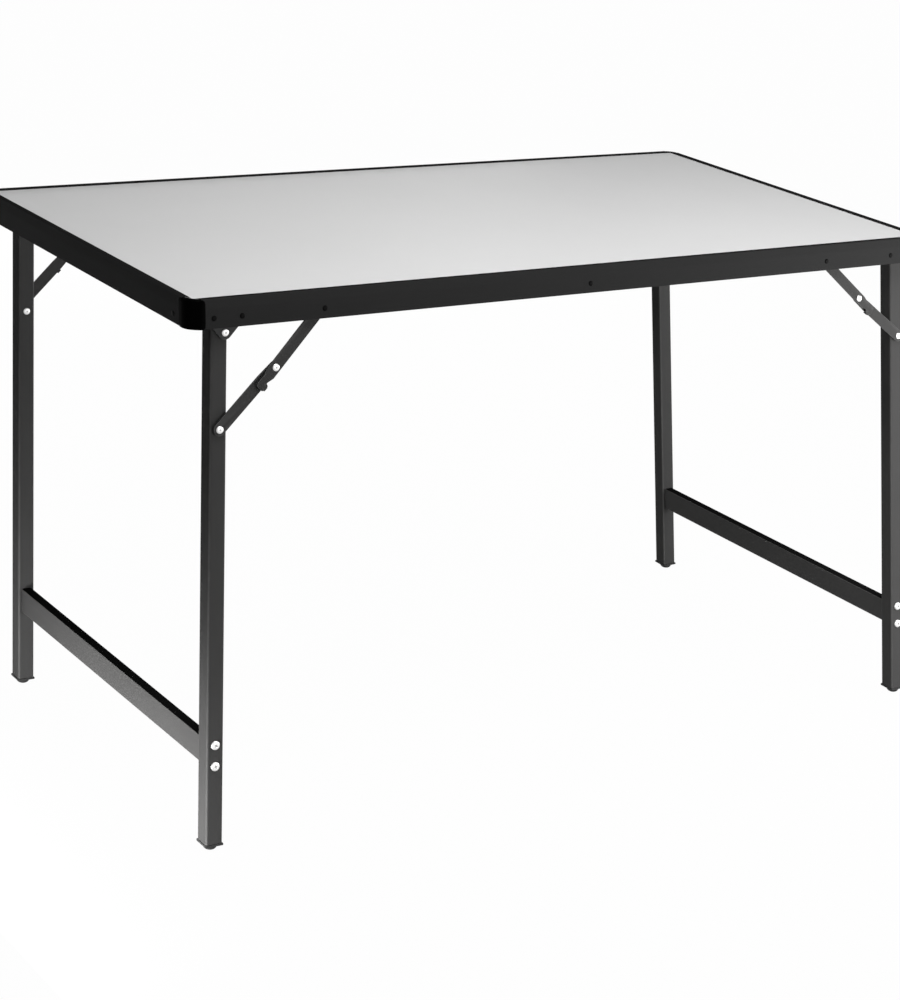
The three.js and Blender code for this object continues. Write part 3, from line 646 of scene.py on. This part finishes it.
def makeBrace():
    look = braceLook
    near, far, thickness = look["wall"], 2 * halfDepth - look["wall"], look["thickness"]
    low, high = halfLength - look["width"] / 2, halfLength + look["width"] / 2
    bar = block((low, near, look["top"] - thickness), (high, far, look["top"]), look["ease"])
    tabs = [
        block((low, at, look["tabBottom"]), (high, at + thickness, look["top"]), look["ease"])
        for at in (near, far - thickness)
    ]
    gather("tie_bar", [bar, *tabs], "brace", "tabletop", ["centre_brace"])


# Dark rivet heads on the rails, over their shanks. Each stands a little off its rail.
studLook = {
    "radius": 3.4, "height": 0.8, "dimple": 0.25, "off": 0.3, "shank": 2.2, "shankOff": 0.25,
    "depth": 4, "columns": 24, "drop": 24, "hinge": 54.4, "besideHinge": (-20.8, 17.1),
    "besideMiddle": 9.5,
}


def studHead(look):
    return dome(-look["off"], -1, look["radius"], look["height"], look["dimple"])


def makeStuds():
    look = studLook
    shank = [(look["shank"], -look["shankOff"]), (look["shank"], look["depth"]),
             (fineness["pinhole"], look["depth"])]
    stud = turned(np.concatenate([studHead(look), shank]), look["columns"])
    z = topHeight - look["drop"]
    endPlace = (0, capLook["studInset"], topHeight - capLook["studDrop"])
    skins = [stand(stud, look["hinge"] + step, z) for step in look["besideHinge"]]
    skins.append(lay(stud, endPlace, yAxis, zAxis, xAxis))
    middle = stand(stud, halfLength - look["besideMiddle"], z)
    for sideName, side in sides.items():
        for endName, end in ends.items():
            name = f"rail_studs_{sideName}_{endName}"
            gather(name, skins, "darkRivet", "tabletop", [], end, side)
        gather(f"tie_bar_stud_{sideName}", [middle], "darkRivet", "tabletop", [], -1, side)


# Where an end's pivots lie, as x inward from the end and z up, read off the model's rivets.
def pivotOf(node):
    low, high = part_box(node)
    middle = (low + high) / 2 / mm
    return np.array([halfLength - abs(middle.x), middle.z])


# Layers beside a leg, as depth behind the long rail's outer face.
layers = {
    "leg": 14.5, "legWidth": 23, "bracket": 11.7, "lowerLink": 10.5, "upperLink": 6.4,
    "linkThickness": 2,
}

# Hinge bracket: plate that hangs beside the leg, with a web under the ledge and a flange
# riveted behind the rail. The plate's sides run at a tangent to the eye round the hinge.
bracketLook = {
    "outer": 30, "inner": 34, "thickness": 2.5, "eye": 9, "edge": 1, "shoulder": 3, "arc": 9,
    "shoulderDrop": 24, "flangeDrop": 31, "top": 687.9, "behindRail": 1.9, "ease": 0.5,
}


# Where the two sides would meet below the eye. Each side's line leaves its shoulder at
# asin(radius / distance) from the eye's centre.
def eyeCorner(left, right, radius):
    slopes = []
    for shoulder, sign in ((left, -1), (right, 1)):
        off = sign * math.asin(radius / math.hypot(*shoulder))
        heading = math.atan2(-shoulder[1], -shoulder[0]) + off
        slopes.append((math.cos(heading), math.sin(heading)))
    lines = np.array([slopes[0], [-value for value in slopes[1]]]).T
    steps = np.linalg.solve(lines, np.array(right) - np.array(left))
    return np.array(left) + steps[0] * np.array(slopes[0])


def bracketSkins(hinge):
    look = bracketLook
    x, z = hinge
    outer, inner, thickness, upper = look["outer"], look["inner"], look["thickness"], look["top"]
    shoulder = topHeight - look["shoulderDrop"] - z
    left, right = (-outer, shoulder), (inner, shoulder)
    lowest = tuple(eyeCorner(left, right, look["eye"]))
    corners = [(-outer, upper - z), left, lowest, right, (inner, upper - z)]
    radii = [look["edge"], look["shoulder"], look["eye"], look["shoulder"], look["edge"]]
    outline = rounded(corners, radii, look["arc"])
    hung = stand(plate(outline, thickness, look["ease"]), x, z, layers["bracket"])
    low, high, behind = x - outer, x + inner, look["behindRail"]
    web = block((low, behind, upper - thickness), (high, layers["bracket"] + thickness, upper))
    flange = block((low, behind, topHeight - look["flangeDrop"]), (high, behind + thickness, upper))
    return [hung, web, flange]


# Bright rivet through the leg: domed head, shank, spacer if there is one, domed head inside.
rivetLook = {
    "head": 4.8, "height": 1.5, "shank": 2.6, "spacer": 5.2, "gap": 0.3, "dimple": 0.3,
    "innerHead": 3.5, "innerHeight": 1.2,
}


def rivetHead(level, direction):
    look = rivetLook
    return dome(level, direction, look["head"], look["height"], look["dimple"])


def legRivet(headDepth, spacer=None):
    look = rivetLook
    near = headDepth + look["height"]
    far = layers["leg"] + layers["legWidth"] + look["gap"]
    steps = [(look["shank"], near)]
    if spacer:
        first, last = spacer
        steps += [(look["shank"], first), (look["spacer"], first), (look["spacer"], last),
                  (look["shank"], last)]
    steps.append((look["shank"], far))
    return dimpled(np.concatenate([rivetHead(near, -1), steps, rivetHead(far, 1)[::-1]]))


# Stay: link sizes, and the tail of the upper link as run, offset and radius, measured from the
# knee along the lower link and aside towards the side that the knee breaks to. The lower link
# narrows to "slim" over its last "taper". A knob covers the knee on its inner side.
stayLook = {
    "half": 8, "slim": 6.3, "taper": 24, "taperRadius": 80, "slack": 0.05, "strip": 0.02,
    "lowerArc": 17, "upperArc": 13, "ease": 0.5,
    "knob": 4.8, "knobHeight": 1.4, "knobSunk": 0.5, "headDepth": 8.7,
    "tail": [(8, -8, 6), (19, -4.8, 10), (33.8, -4.8, 4.2), (34.2, 9.4, 5.2), (23.6, 9.4, 3.2),
             (22.4, 4.8, 0.9), (12, 7.95, 3)],
    "stop": [(25.5, 8.3), (31.5, 9.8)], "stopDepth": 6.1, "stopCorner": 0.6, "stopEase": 0.4,
    "stopArc": 4, "stopStrip": 0.05,
}


# The link's end radii are a little less than half its width, so that its arcs don't meet.
def lowerLinkSkins(legPivot, knee):
    look = stayLook
    reach = np.linalg.norm(knee - legPivot)
    half, slim, taper = look["half"], look["slim"], reach - look["taper"]
    corners = [(-half, -half), (taper, -half), (reach + slim, -slim), (reach + slim, slim),
               (taper, half), (-half, half)]
    wide, narrow, bend = half - look["slack"], slim - 2 * look["slack"], look["taperRadius"]
    radii = [wide, bend, narrow, narrow, bend, wide]
    outline = rounded(corners, radii, look["lowerArc"], look["strip"])
    along = unit(knee - legPivot)
    across, aside = np.array([along[0], 0, along[1]]), np.array([-along[1], 0, along[0]])
    depth, thickness = layers["lowerLink"], layers["linkThickness"]
    origin = (legPivot[0], depth, legPivot[1])
    link = lay(plate(outline, thickness, look["ease"]), origin, across, aside, yAxis)
    under = thickness - look["knobSunk"]
    cover = dome(thickness, 1, look["knob"], look["knobHeight"])[::-1]
    knob = np.concatenate([[(fineness["pinhole"], under), (look["knob"], under)], cover])
    return [link, stand(turned(knob), *knee, depth)]


def upperLinkSkins(railPivot, knee, legPivot):
    look = stayLook
    half, wide = look["half"], look["half"] - look["slack"]
    along, lower = unit(knee - railPivot), unit(legPivot - knee)
    aside = np.array([-along[1], along[0]])
    lowerAside = np.array([-lower[1], lower[0]])

    # From the lower link's directions at the knee to this link's own.
    def past(run, out):
        point = knee - railPivot + run * lower + out * lowerAside
        return point @ along, point @ aside

    tail = [past(run, out) for run, out, radius in look["tail"]]
    corners = [(-half, half), (-half, -half), *tail]
    radii = [wide, wide, *[radius for run, out, radius in look["tail"]]]
    outline = rounded(corners, radii, look["upperArc"], look["strip"])
    place = ((railPivot[0], layers["upperLink"], railPivot[1]),
             np.array([along[0], 0, along[1]]), np.array([aside[0], 0, aside[1]]), yAxis)
    link = lay(plate(outline, layers["linkThickness"], look["ease"]), *place)
    corners = [past(*corner) for corner in box2(*look["stop"])]
    stop = rounded(corners, look["stopCorner"], look["stopArc"], look["stopStrip"])
    return [link, lay(plate(stop, look["stopDepth"], look["stopEase"]), *place)]


def kneeRivet():
    look = rivetLook
    near = layers["upperLink"] - look["gap"]
    washer = layers["upperLink"] + layers["linkThickness"] + look["gap"]
    last = layers["lowerLink"] - look["gap"]
    steps = [(look["shank"], near), (look["shank"], washer), (look["head"], washer),
             (look["head"], last), (fineness["pinhole"], last)]
    return dimpled(np.concatenate([rivetHead(near, -1), steps]))


def railPivotRivet():
    look, stud = rivetLook, studLook
    first = railLook["wall"] + look["gap"]
    last = layers["upperLink"] - look["gap"]
    far = layers["upperLink"] + layers["linkThickness"] + look["gap"]
    steps = [(look["shank"], -stud["shankOff"]), (look["shank"], first), (look["spacer"], first),
             (look["spacer"], last), (look["shank"], last), (look["shank"], far)]
    inner = dome(far, 1, look["innerHead"], look["innerHeight"])[::-1]
    return turned(np.concatenate([studHead(stud), steps, inner]))


# Leg frame: square tubes, cross rail with two screws at each end, plugs with round buttons.
legLook = {
    "footInset": 29, "corner": 3, "wall": 1.5, "bottom": 9.5, "hollowCorner": 0.8, "gap": 0.3,
    "overtops": {"left": 20, "right": 6.5},
}
footLook = {
    "flange": 25, "flangeBottom": 6.7, "flangeThickness": 2.5, "flangeCorner": 1.6,
    "flangeEase": 0.6, "button": 9.5, "flat": 4, "flatStart": 3.8, "height": 7, "neck": 8.2,
    "plug": 19.4, "plugTop": 29.5, "plugCorner": 1.5, "plugEase": 0.5, "arc": 10, "columns": 48,
}
stretcherLook = {"rise": 123, "height": 33.4, "thickness": 14.6, "wall": 1.2, "corner": 1.5}
screwLook = {
    "spacing": 27, "head": 5.8, "height": 2.3, "shank": 1.6, "grip": 15, "columns": 96,
    "innerRings": (0.05, 3.6, 28), "outerStart": 3.8, "outerRings": 10,
    "arm": 0.8, "armReach": 2.7, "narrowing": 0.12, "endSoftness": 0.12, "sideSoftness": 0.08,
    "recess": 1.3, "shallower": 0.5, "recessShade": 0.8, "turns": {"lower": 0.5, "upper": 0.9},
}


def square(width, height, radius):
    return rounded(box2((-width / 2, -height / 2), (width / 2, height / 2)), radius)


# Pan head with a cross recess. Out to the rim R the height is H * (1 - (r / R)^4)^(1/2). The
# recess sinks by a soft mask of two crossed bars, 1 / (1 + exp(distance past a bar's side /
# softness)), that narrows outwards and gets shallower with the radius.
def screwSkin():
    look = screwLook
    turn = np.linspace(0, 2 * math.pi, look["columns"], endpoint=False)
    inner = np.linspace(*look["innerRings"])
    outer = np.linspace(look["outerStart"], look["head"], look["outerRings"])
    radius = np.concatenate([inner, outer])[:, None]
    x, y = radius * np.cos(turn), radius * np.sin(turn)
    rise = look["height"] * np.sqrt(np.clip(1 - (radius / look["head"]) ** 4, 0, 1))

    def bar(run, out):
        half = look["arm"] * (1 - look["narrowing"] * np.abs(run))
        long = 1 / (1 + np.exp((np.abs(run) - look["armReach"]) / look["endSoftness"]))
        return long / (1 + np.exp((np.abs(out) - half) / look["sideSoftness"]))

    mask = np.maximum(bar(x, y), bar(y, x))
    sink = look["recess"] * mask * (1 - look["shallower"] * radius / look["armReach"])
    base = layers["leg"] - legLook["gap"]
    head = np.stack([x, y, base - rise + np.maximum(sink, 0)], 2)
    tip = layers["leg"] + layers["legWidth"] + look["grip"]
    profile = [(look["shank"], base), (look["shank"], tip),
               (fineness["pinhole"], tip + look["shank"])]
    shank = turned(profile, look["columns"])[0]
    # The recess's mask sets how much painted shade it carries.
    recessShade = np.concatenate([mask * look["recessShade"], np.zeros(shank.shape[:2])])
    return np.concatenate([head, shank]), recessShade, False


# The button bulges out from its flat by sin t, and up by 1 - cos t, over a quarter turn of t.
def footSkins(origin, across, along):
    look = footLook
    turn = np.linspace(0, math.pi / 2, look["arc"])
    out = look["flat"] + (look["button"] - look["flat"]) * np.sin(turn)
    bulge = np.column_stack([out, look["height"] * (1 - np.cos(turn))])
    start = [(fineness["pinhole"], 0), (look["flatStart"], 0)]
    close = [(look["button"], look["neck"]), (fineness["pinhole"], look["neck"])]
    button = turned(np.concatenate([start, bulge, close]), look["columns"])
    flange = square(look["flange"], look["flange"], look["flangeCorner"])
    flange = plate(flange, look["flangeThickness"], look["flangeEase"])
    plug = square(look["plug"], look["plug"], look["plugCorner"])
    plug = plate(plug, look["plugTop"] - look["height"], look["plugEase"])
    return [
        lay(button, origin),
        lay(flange, origin + look["flangeBottom"] * along, across, yAxis, along),
        lay(plug, origin + look["height"] * along, across, yAxis, along),
    ]


# Square tube between two distances, as an outline with its hollow.
def squareTube(width, height, wall, corner, start, stop):
    hollow = square(width - 2 * wall, height - 2 * wall, legLook["hollowCorner"])
    return tube(square(width, height, corner), hollow, start, stop)


def makeLegFrame(endName, end, pivots):
    look, cross = legLook, stretcherLook
    width, gap = layers["legWidth"], look["gap"]
    body = f"{endName}_legs"
    base = np.array([look["footInset"], 0.0])
    up = unit(pivots["leg"] - base)
    along, across = np.array([up[0], 0, up[1]]), np.array([up[1], 0, -up[0]])
    origin = np.array([base[0], layers["leg"] + width / 2, 0])
    top = (pivots["hinge"] - base) @ up + look["overtops"][endName]
    leg = squareTube(width, width, look["wall"], look["corner"], look["bottom"], top)
    leg = lay(leg, origin, across, yAxis, along)
    foot = footSkins(origin, across, along)
    spacer = (layers["lowerLink"] + layers["linkThickness"] + gap, layers["leg"] - gap)
    place = (pivots["leg"][0], 0, pivots["leg"][1])
    rivet = lay(legRivet(stayLook["headDepth"], spacer), place, across, along, yAxis)
    middle = origin * (1, 0, 1) + cross["rise"] * along
    start = layers["leg"] + width + gap
    rail = squareTube(cross["thickness"], cross["height"], cross["wall"], cross["corner"],
                      start, 2 * halfDepth - start)
    rail = lay(rail, middle, across, along, yAxis)
    gather(f"cross_rail_{endName}", [rail], "stretcher", body, [f"stretcher_{endName}"], end)
    screw = screwSkin()
    for sideName, side in sides.items():
        name = f"{sideName}_{endName}"
        for piece, skins, finish, node in (
            ("square_leg", [leg], "frame", "leg"),
            ("plug_foot", foot, "foot", "foot"),
            ("leg_rivet", [rivet], "rivet", "stay_leg_rivet"),
        ):
            gather(f"{piece}_{name}", skins, finish, body, [f"{node}_{name}"], end, side)
        for level, sign in (("lower", -1), ("upper", 1)):
            turn = screwLook["turns"][level]
            at = middle + sign * screwLook["spacing"] / 2 * along
            first = math.cos(turn) * across + math.sin(turn) * along
            second = math.cos(turn) * along - math.sin(turn) * across
            node = f"stretcher_screw_{level}_{name}"
            gather(f"cross_screw_{level}_{name}", [lay(screw, at, first, second, yAxis)],
                   "screw", body, [node], end, side)
        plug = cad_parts[f"stretcher_plug_{name}"]
        plug.material_slots[0].material = finishes["cap"].material


def makeStay(endName, end, pivots):
    leg, knee, rail = pivots["leg"], pivots["knee"], pivots["rail"]
    lower, upper = lowerLinkSkins(leg, knee), upperLinkSkins(rail, knee, leg)
    kneePin, railPin = [stand(kneeRivet(), *knee)], [stand(railPivotRivet(), *rail)]
    for sideName, side in sides.items():
        name = f"{sideName}_{endName}"
        for piece, skins, finish, body, node in (
            ("lower_link", lower, "stay", f"{name}_lower_link", "stay_lower"),
            ("upper_link", upper, "stay", f"{name}_upper_link", "stay_upper"),
            ("knee_rivet", kneePin, "rivet", f"{name}_upper_link", "stay_knee_rivet"),
            ("rail_pivot", railPin, "darkRivet", "tabletop", "stay_rail_rivet"),
        ):
            gather(f"{piece}_{name}", skins, finish, body, [f"{node}_{name}"], end, side)


def makeHinges(endName, end, pivots):
    plates = bracketSkins(pivots["hinge"])
    head = layers["bracket"] - rivetLook["gap"] - rivetLook["height"]
    pin = [stand(legRivet(head), *pivots["hinge"])]
    for sideName, side in sides.items():
        name = f"{sideName}_{endName}"
        for piece, skins, finish, node in (
            ("hinge_plate", plates, "bracket", "hinge_bracket"),
            ("hinge_pin", pin, "rivet", "hinge_rivet"),
        ):
            gather(f"{piece}_{name}", skins, finish, "tabletop", [f"{node}_{name}"], end, side)


makePanel()
makeRails()
makeCaps()
makeBrace()
makeStuds()
print("top made")
pivotNodes = {
    "hinge": "hinge_rivet", "leg": "stay_leg_rivet", "knee": "stay_knee_rivet",
    "rail": "stay_rail_rivet",
}
for endName, end in ends.items():
    pivots = {key: pivotOf(f"{node}_front_{endName}") for key, node in pivotNodes.items()}
    makeHinges(endName, end, pivots)
    makeLegFrame(endName, end, pivots)
    makeStay(endName, end, pivots)
    print(endName, "frame made")


# Floor and surroundings: what the camera, and gloss and glass, see of them is white, and the
# floor keeps a faint shadow. The floor lies a little lower than the feet.
studioLook = {
    "floor": 0.35, "roughness": 0.9, "veil": 0.985, "surround": 0.05, "size": 30, "drop": 0.0002,
}


def makeStudio():
    look = studioLook
    mesh = bpy.data.meshes.new("studio_floor")
    half = look["size"] / 2
    corners = box2((-half, -half), (half, half))
    mesh.from_pydata([(x, y, -look["drop"]) for x, y in corners], [], [(0, 1, 2, 3)])
    floor = bpy.data.objects.new("studio_floor", mesh)
    bpy.context.scene.collection.objects.link(floor)
    pale = Finish("paleFloor", None)
    pale.feed(pale.shader.inputs["Base Color"], grey(look["floor"]))
    pale.feed(pale.shader.inputs["Roughness"], look["roughness"])
    pale.feed(pale.shader.inputs["Specular IOR Level"], 0.0)
    glow = pale.node("ShaderNodeEmission", None, {"Strength": 1.0})
    pale.giveWay(pale.seen() * look["veil"], glow)
    mesh.materials.append(pale.material)

    world = bpy.data.worlds.new("studio")
    bpy.context.scene.world = world
    nodes = Nodes(world)
    values = {"Value": nodes.seen(), "To Min": look["surround"], "To Max": 1.0}
    background = nodes.tree.nodes["Background"]
    nodes.feed(background.inputs["Color"], (1, 1, 1, 1))
    nodes.feed(background.inputs["Strength"], nodes.number("ShaderNodeMapRange", None, values))


# Soft lamps: place, point they face, width and height in metres, power in watts, and spread in
# degrees where it isn't 180.
lampLook = {
    "top": {"at": (0.2, 0.0, 3.0), "to": (0.2, 0, 0.7), "size": (2.0, 1.6), "power": 18},
    "frontTop": {
        "at": (0.2, -1.0, 2.2), "to": (0.18, -0.45, 0.7), "size": (2.4, 0.6), "power": 10.9,
        "spread": 90,
    },
    "front": {"at": (0.7, -2.6, 0.4), "to": (-0.2, 0, 0.3), "size": (1.4, 0.6), "power": 29},
    "right": {
        "at": (1.12, -0.9, 0.42), "to": (0.57, -0.29, 0.35), "size": (0.7, 0.6), "power": 15.5,
    },
    "lowLeft": {
        "at": (-0.87, -0.17, 0.025), "to": (-0.55, -0.17, -0.1), "size": (0.7, 0.04),
        "power": 6.4, "spread": 158,
    },
    "behind": {"at": (1.0, 2.8, 0.6), "to": (0, 0, 0.4), "size": (1.8, 1.0), "power": 55},
}


def makeLamps():
    for name, look in lampLook.items():
        lamp = bpy.data.lights.new(name, "AREA")
        lamp.energy = look["power"]
        lamp.shape = "RECTANGLE"
        lamp.size, lamp.size_y = look["size"]
        lamp.spread = math.radians(look.get("spread", 180))
        holder = bpy.data.objects.new(name, lamp)
        bpy.context.scene.collection.objects.link(holder)
        facing = Vector(look["at"]) - Vector(look["to"])
        holder.location = look["at"]
        holder.rotation_euler = facing.to_track_quat("Z", "Y").to_euler()


# Camera at the photograph's viewpoint. The photograph is straightened and slightly slanted, as
# with a shift lens, so the camera hangs from an empty whose axes are a little out of square:
# right runs slightly upwards, and back leans right and up. The focal length is given as a share
# of the picture's height.
cameraLook = {
    "at": (-1.974032, -2.952641, 1.507613), "turn": (82.867793, -0.141804, -36.79682),
    "focalShare": 2.61582, "sensor": 36, "right": (0.99619, 0.087204, 0),
    "back": (0.058788, 0.207559, 0.976454), "clip": (0.05, 100),
}


def makeCamera():
    look = cameraLook
    lens = bpy.data.cameras.new("camera")
    lens.sensor_fit = "VERTICAL"
    lens.sensor_height = look["sensor"]
    lens.lens = look["sensor"] * look["focalShare"]
    lens.clip_start, lens.clip_end = look["clip"]
    camera = bpy.data.objects.new("camera", lens)
    holder = bpy.data.objects.new("camera_holder", None)
    for item in (camera, holder):
        bpy.context.scene.collection.objects.link(item)
    turn = Euler([math.radians(angle) for angle in look["turn"]], "XYZ").to_matrix().to_4x4()
    axes = Matrix([look["right"], (0, 1, 0), look["back"]]).transposed().to_4x4()
    camera.parent = holder
    camera.matrix_parent_inverse = Matrix.Translation(look["at"]) @ turn @ axes
    bpy.context.scene.camera = camera


makeStudio()
makeLamps()
makeCamera()
bpy.context.scene.view_settings.view_transform = "Standard"
print("studio made")

bpy.context.view_layer.update()
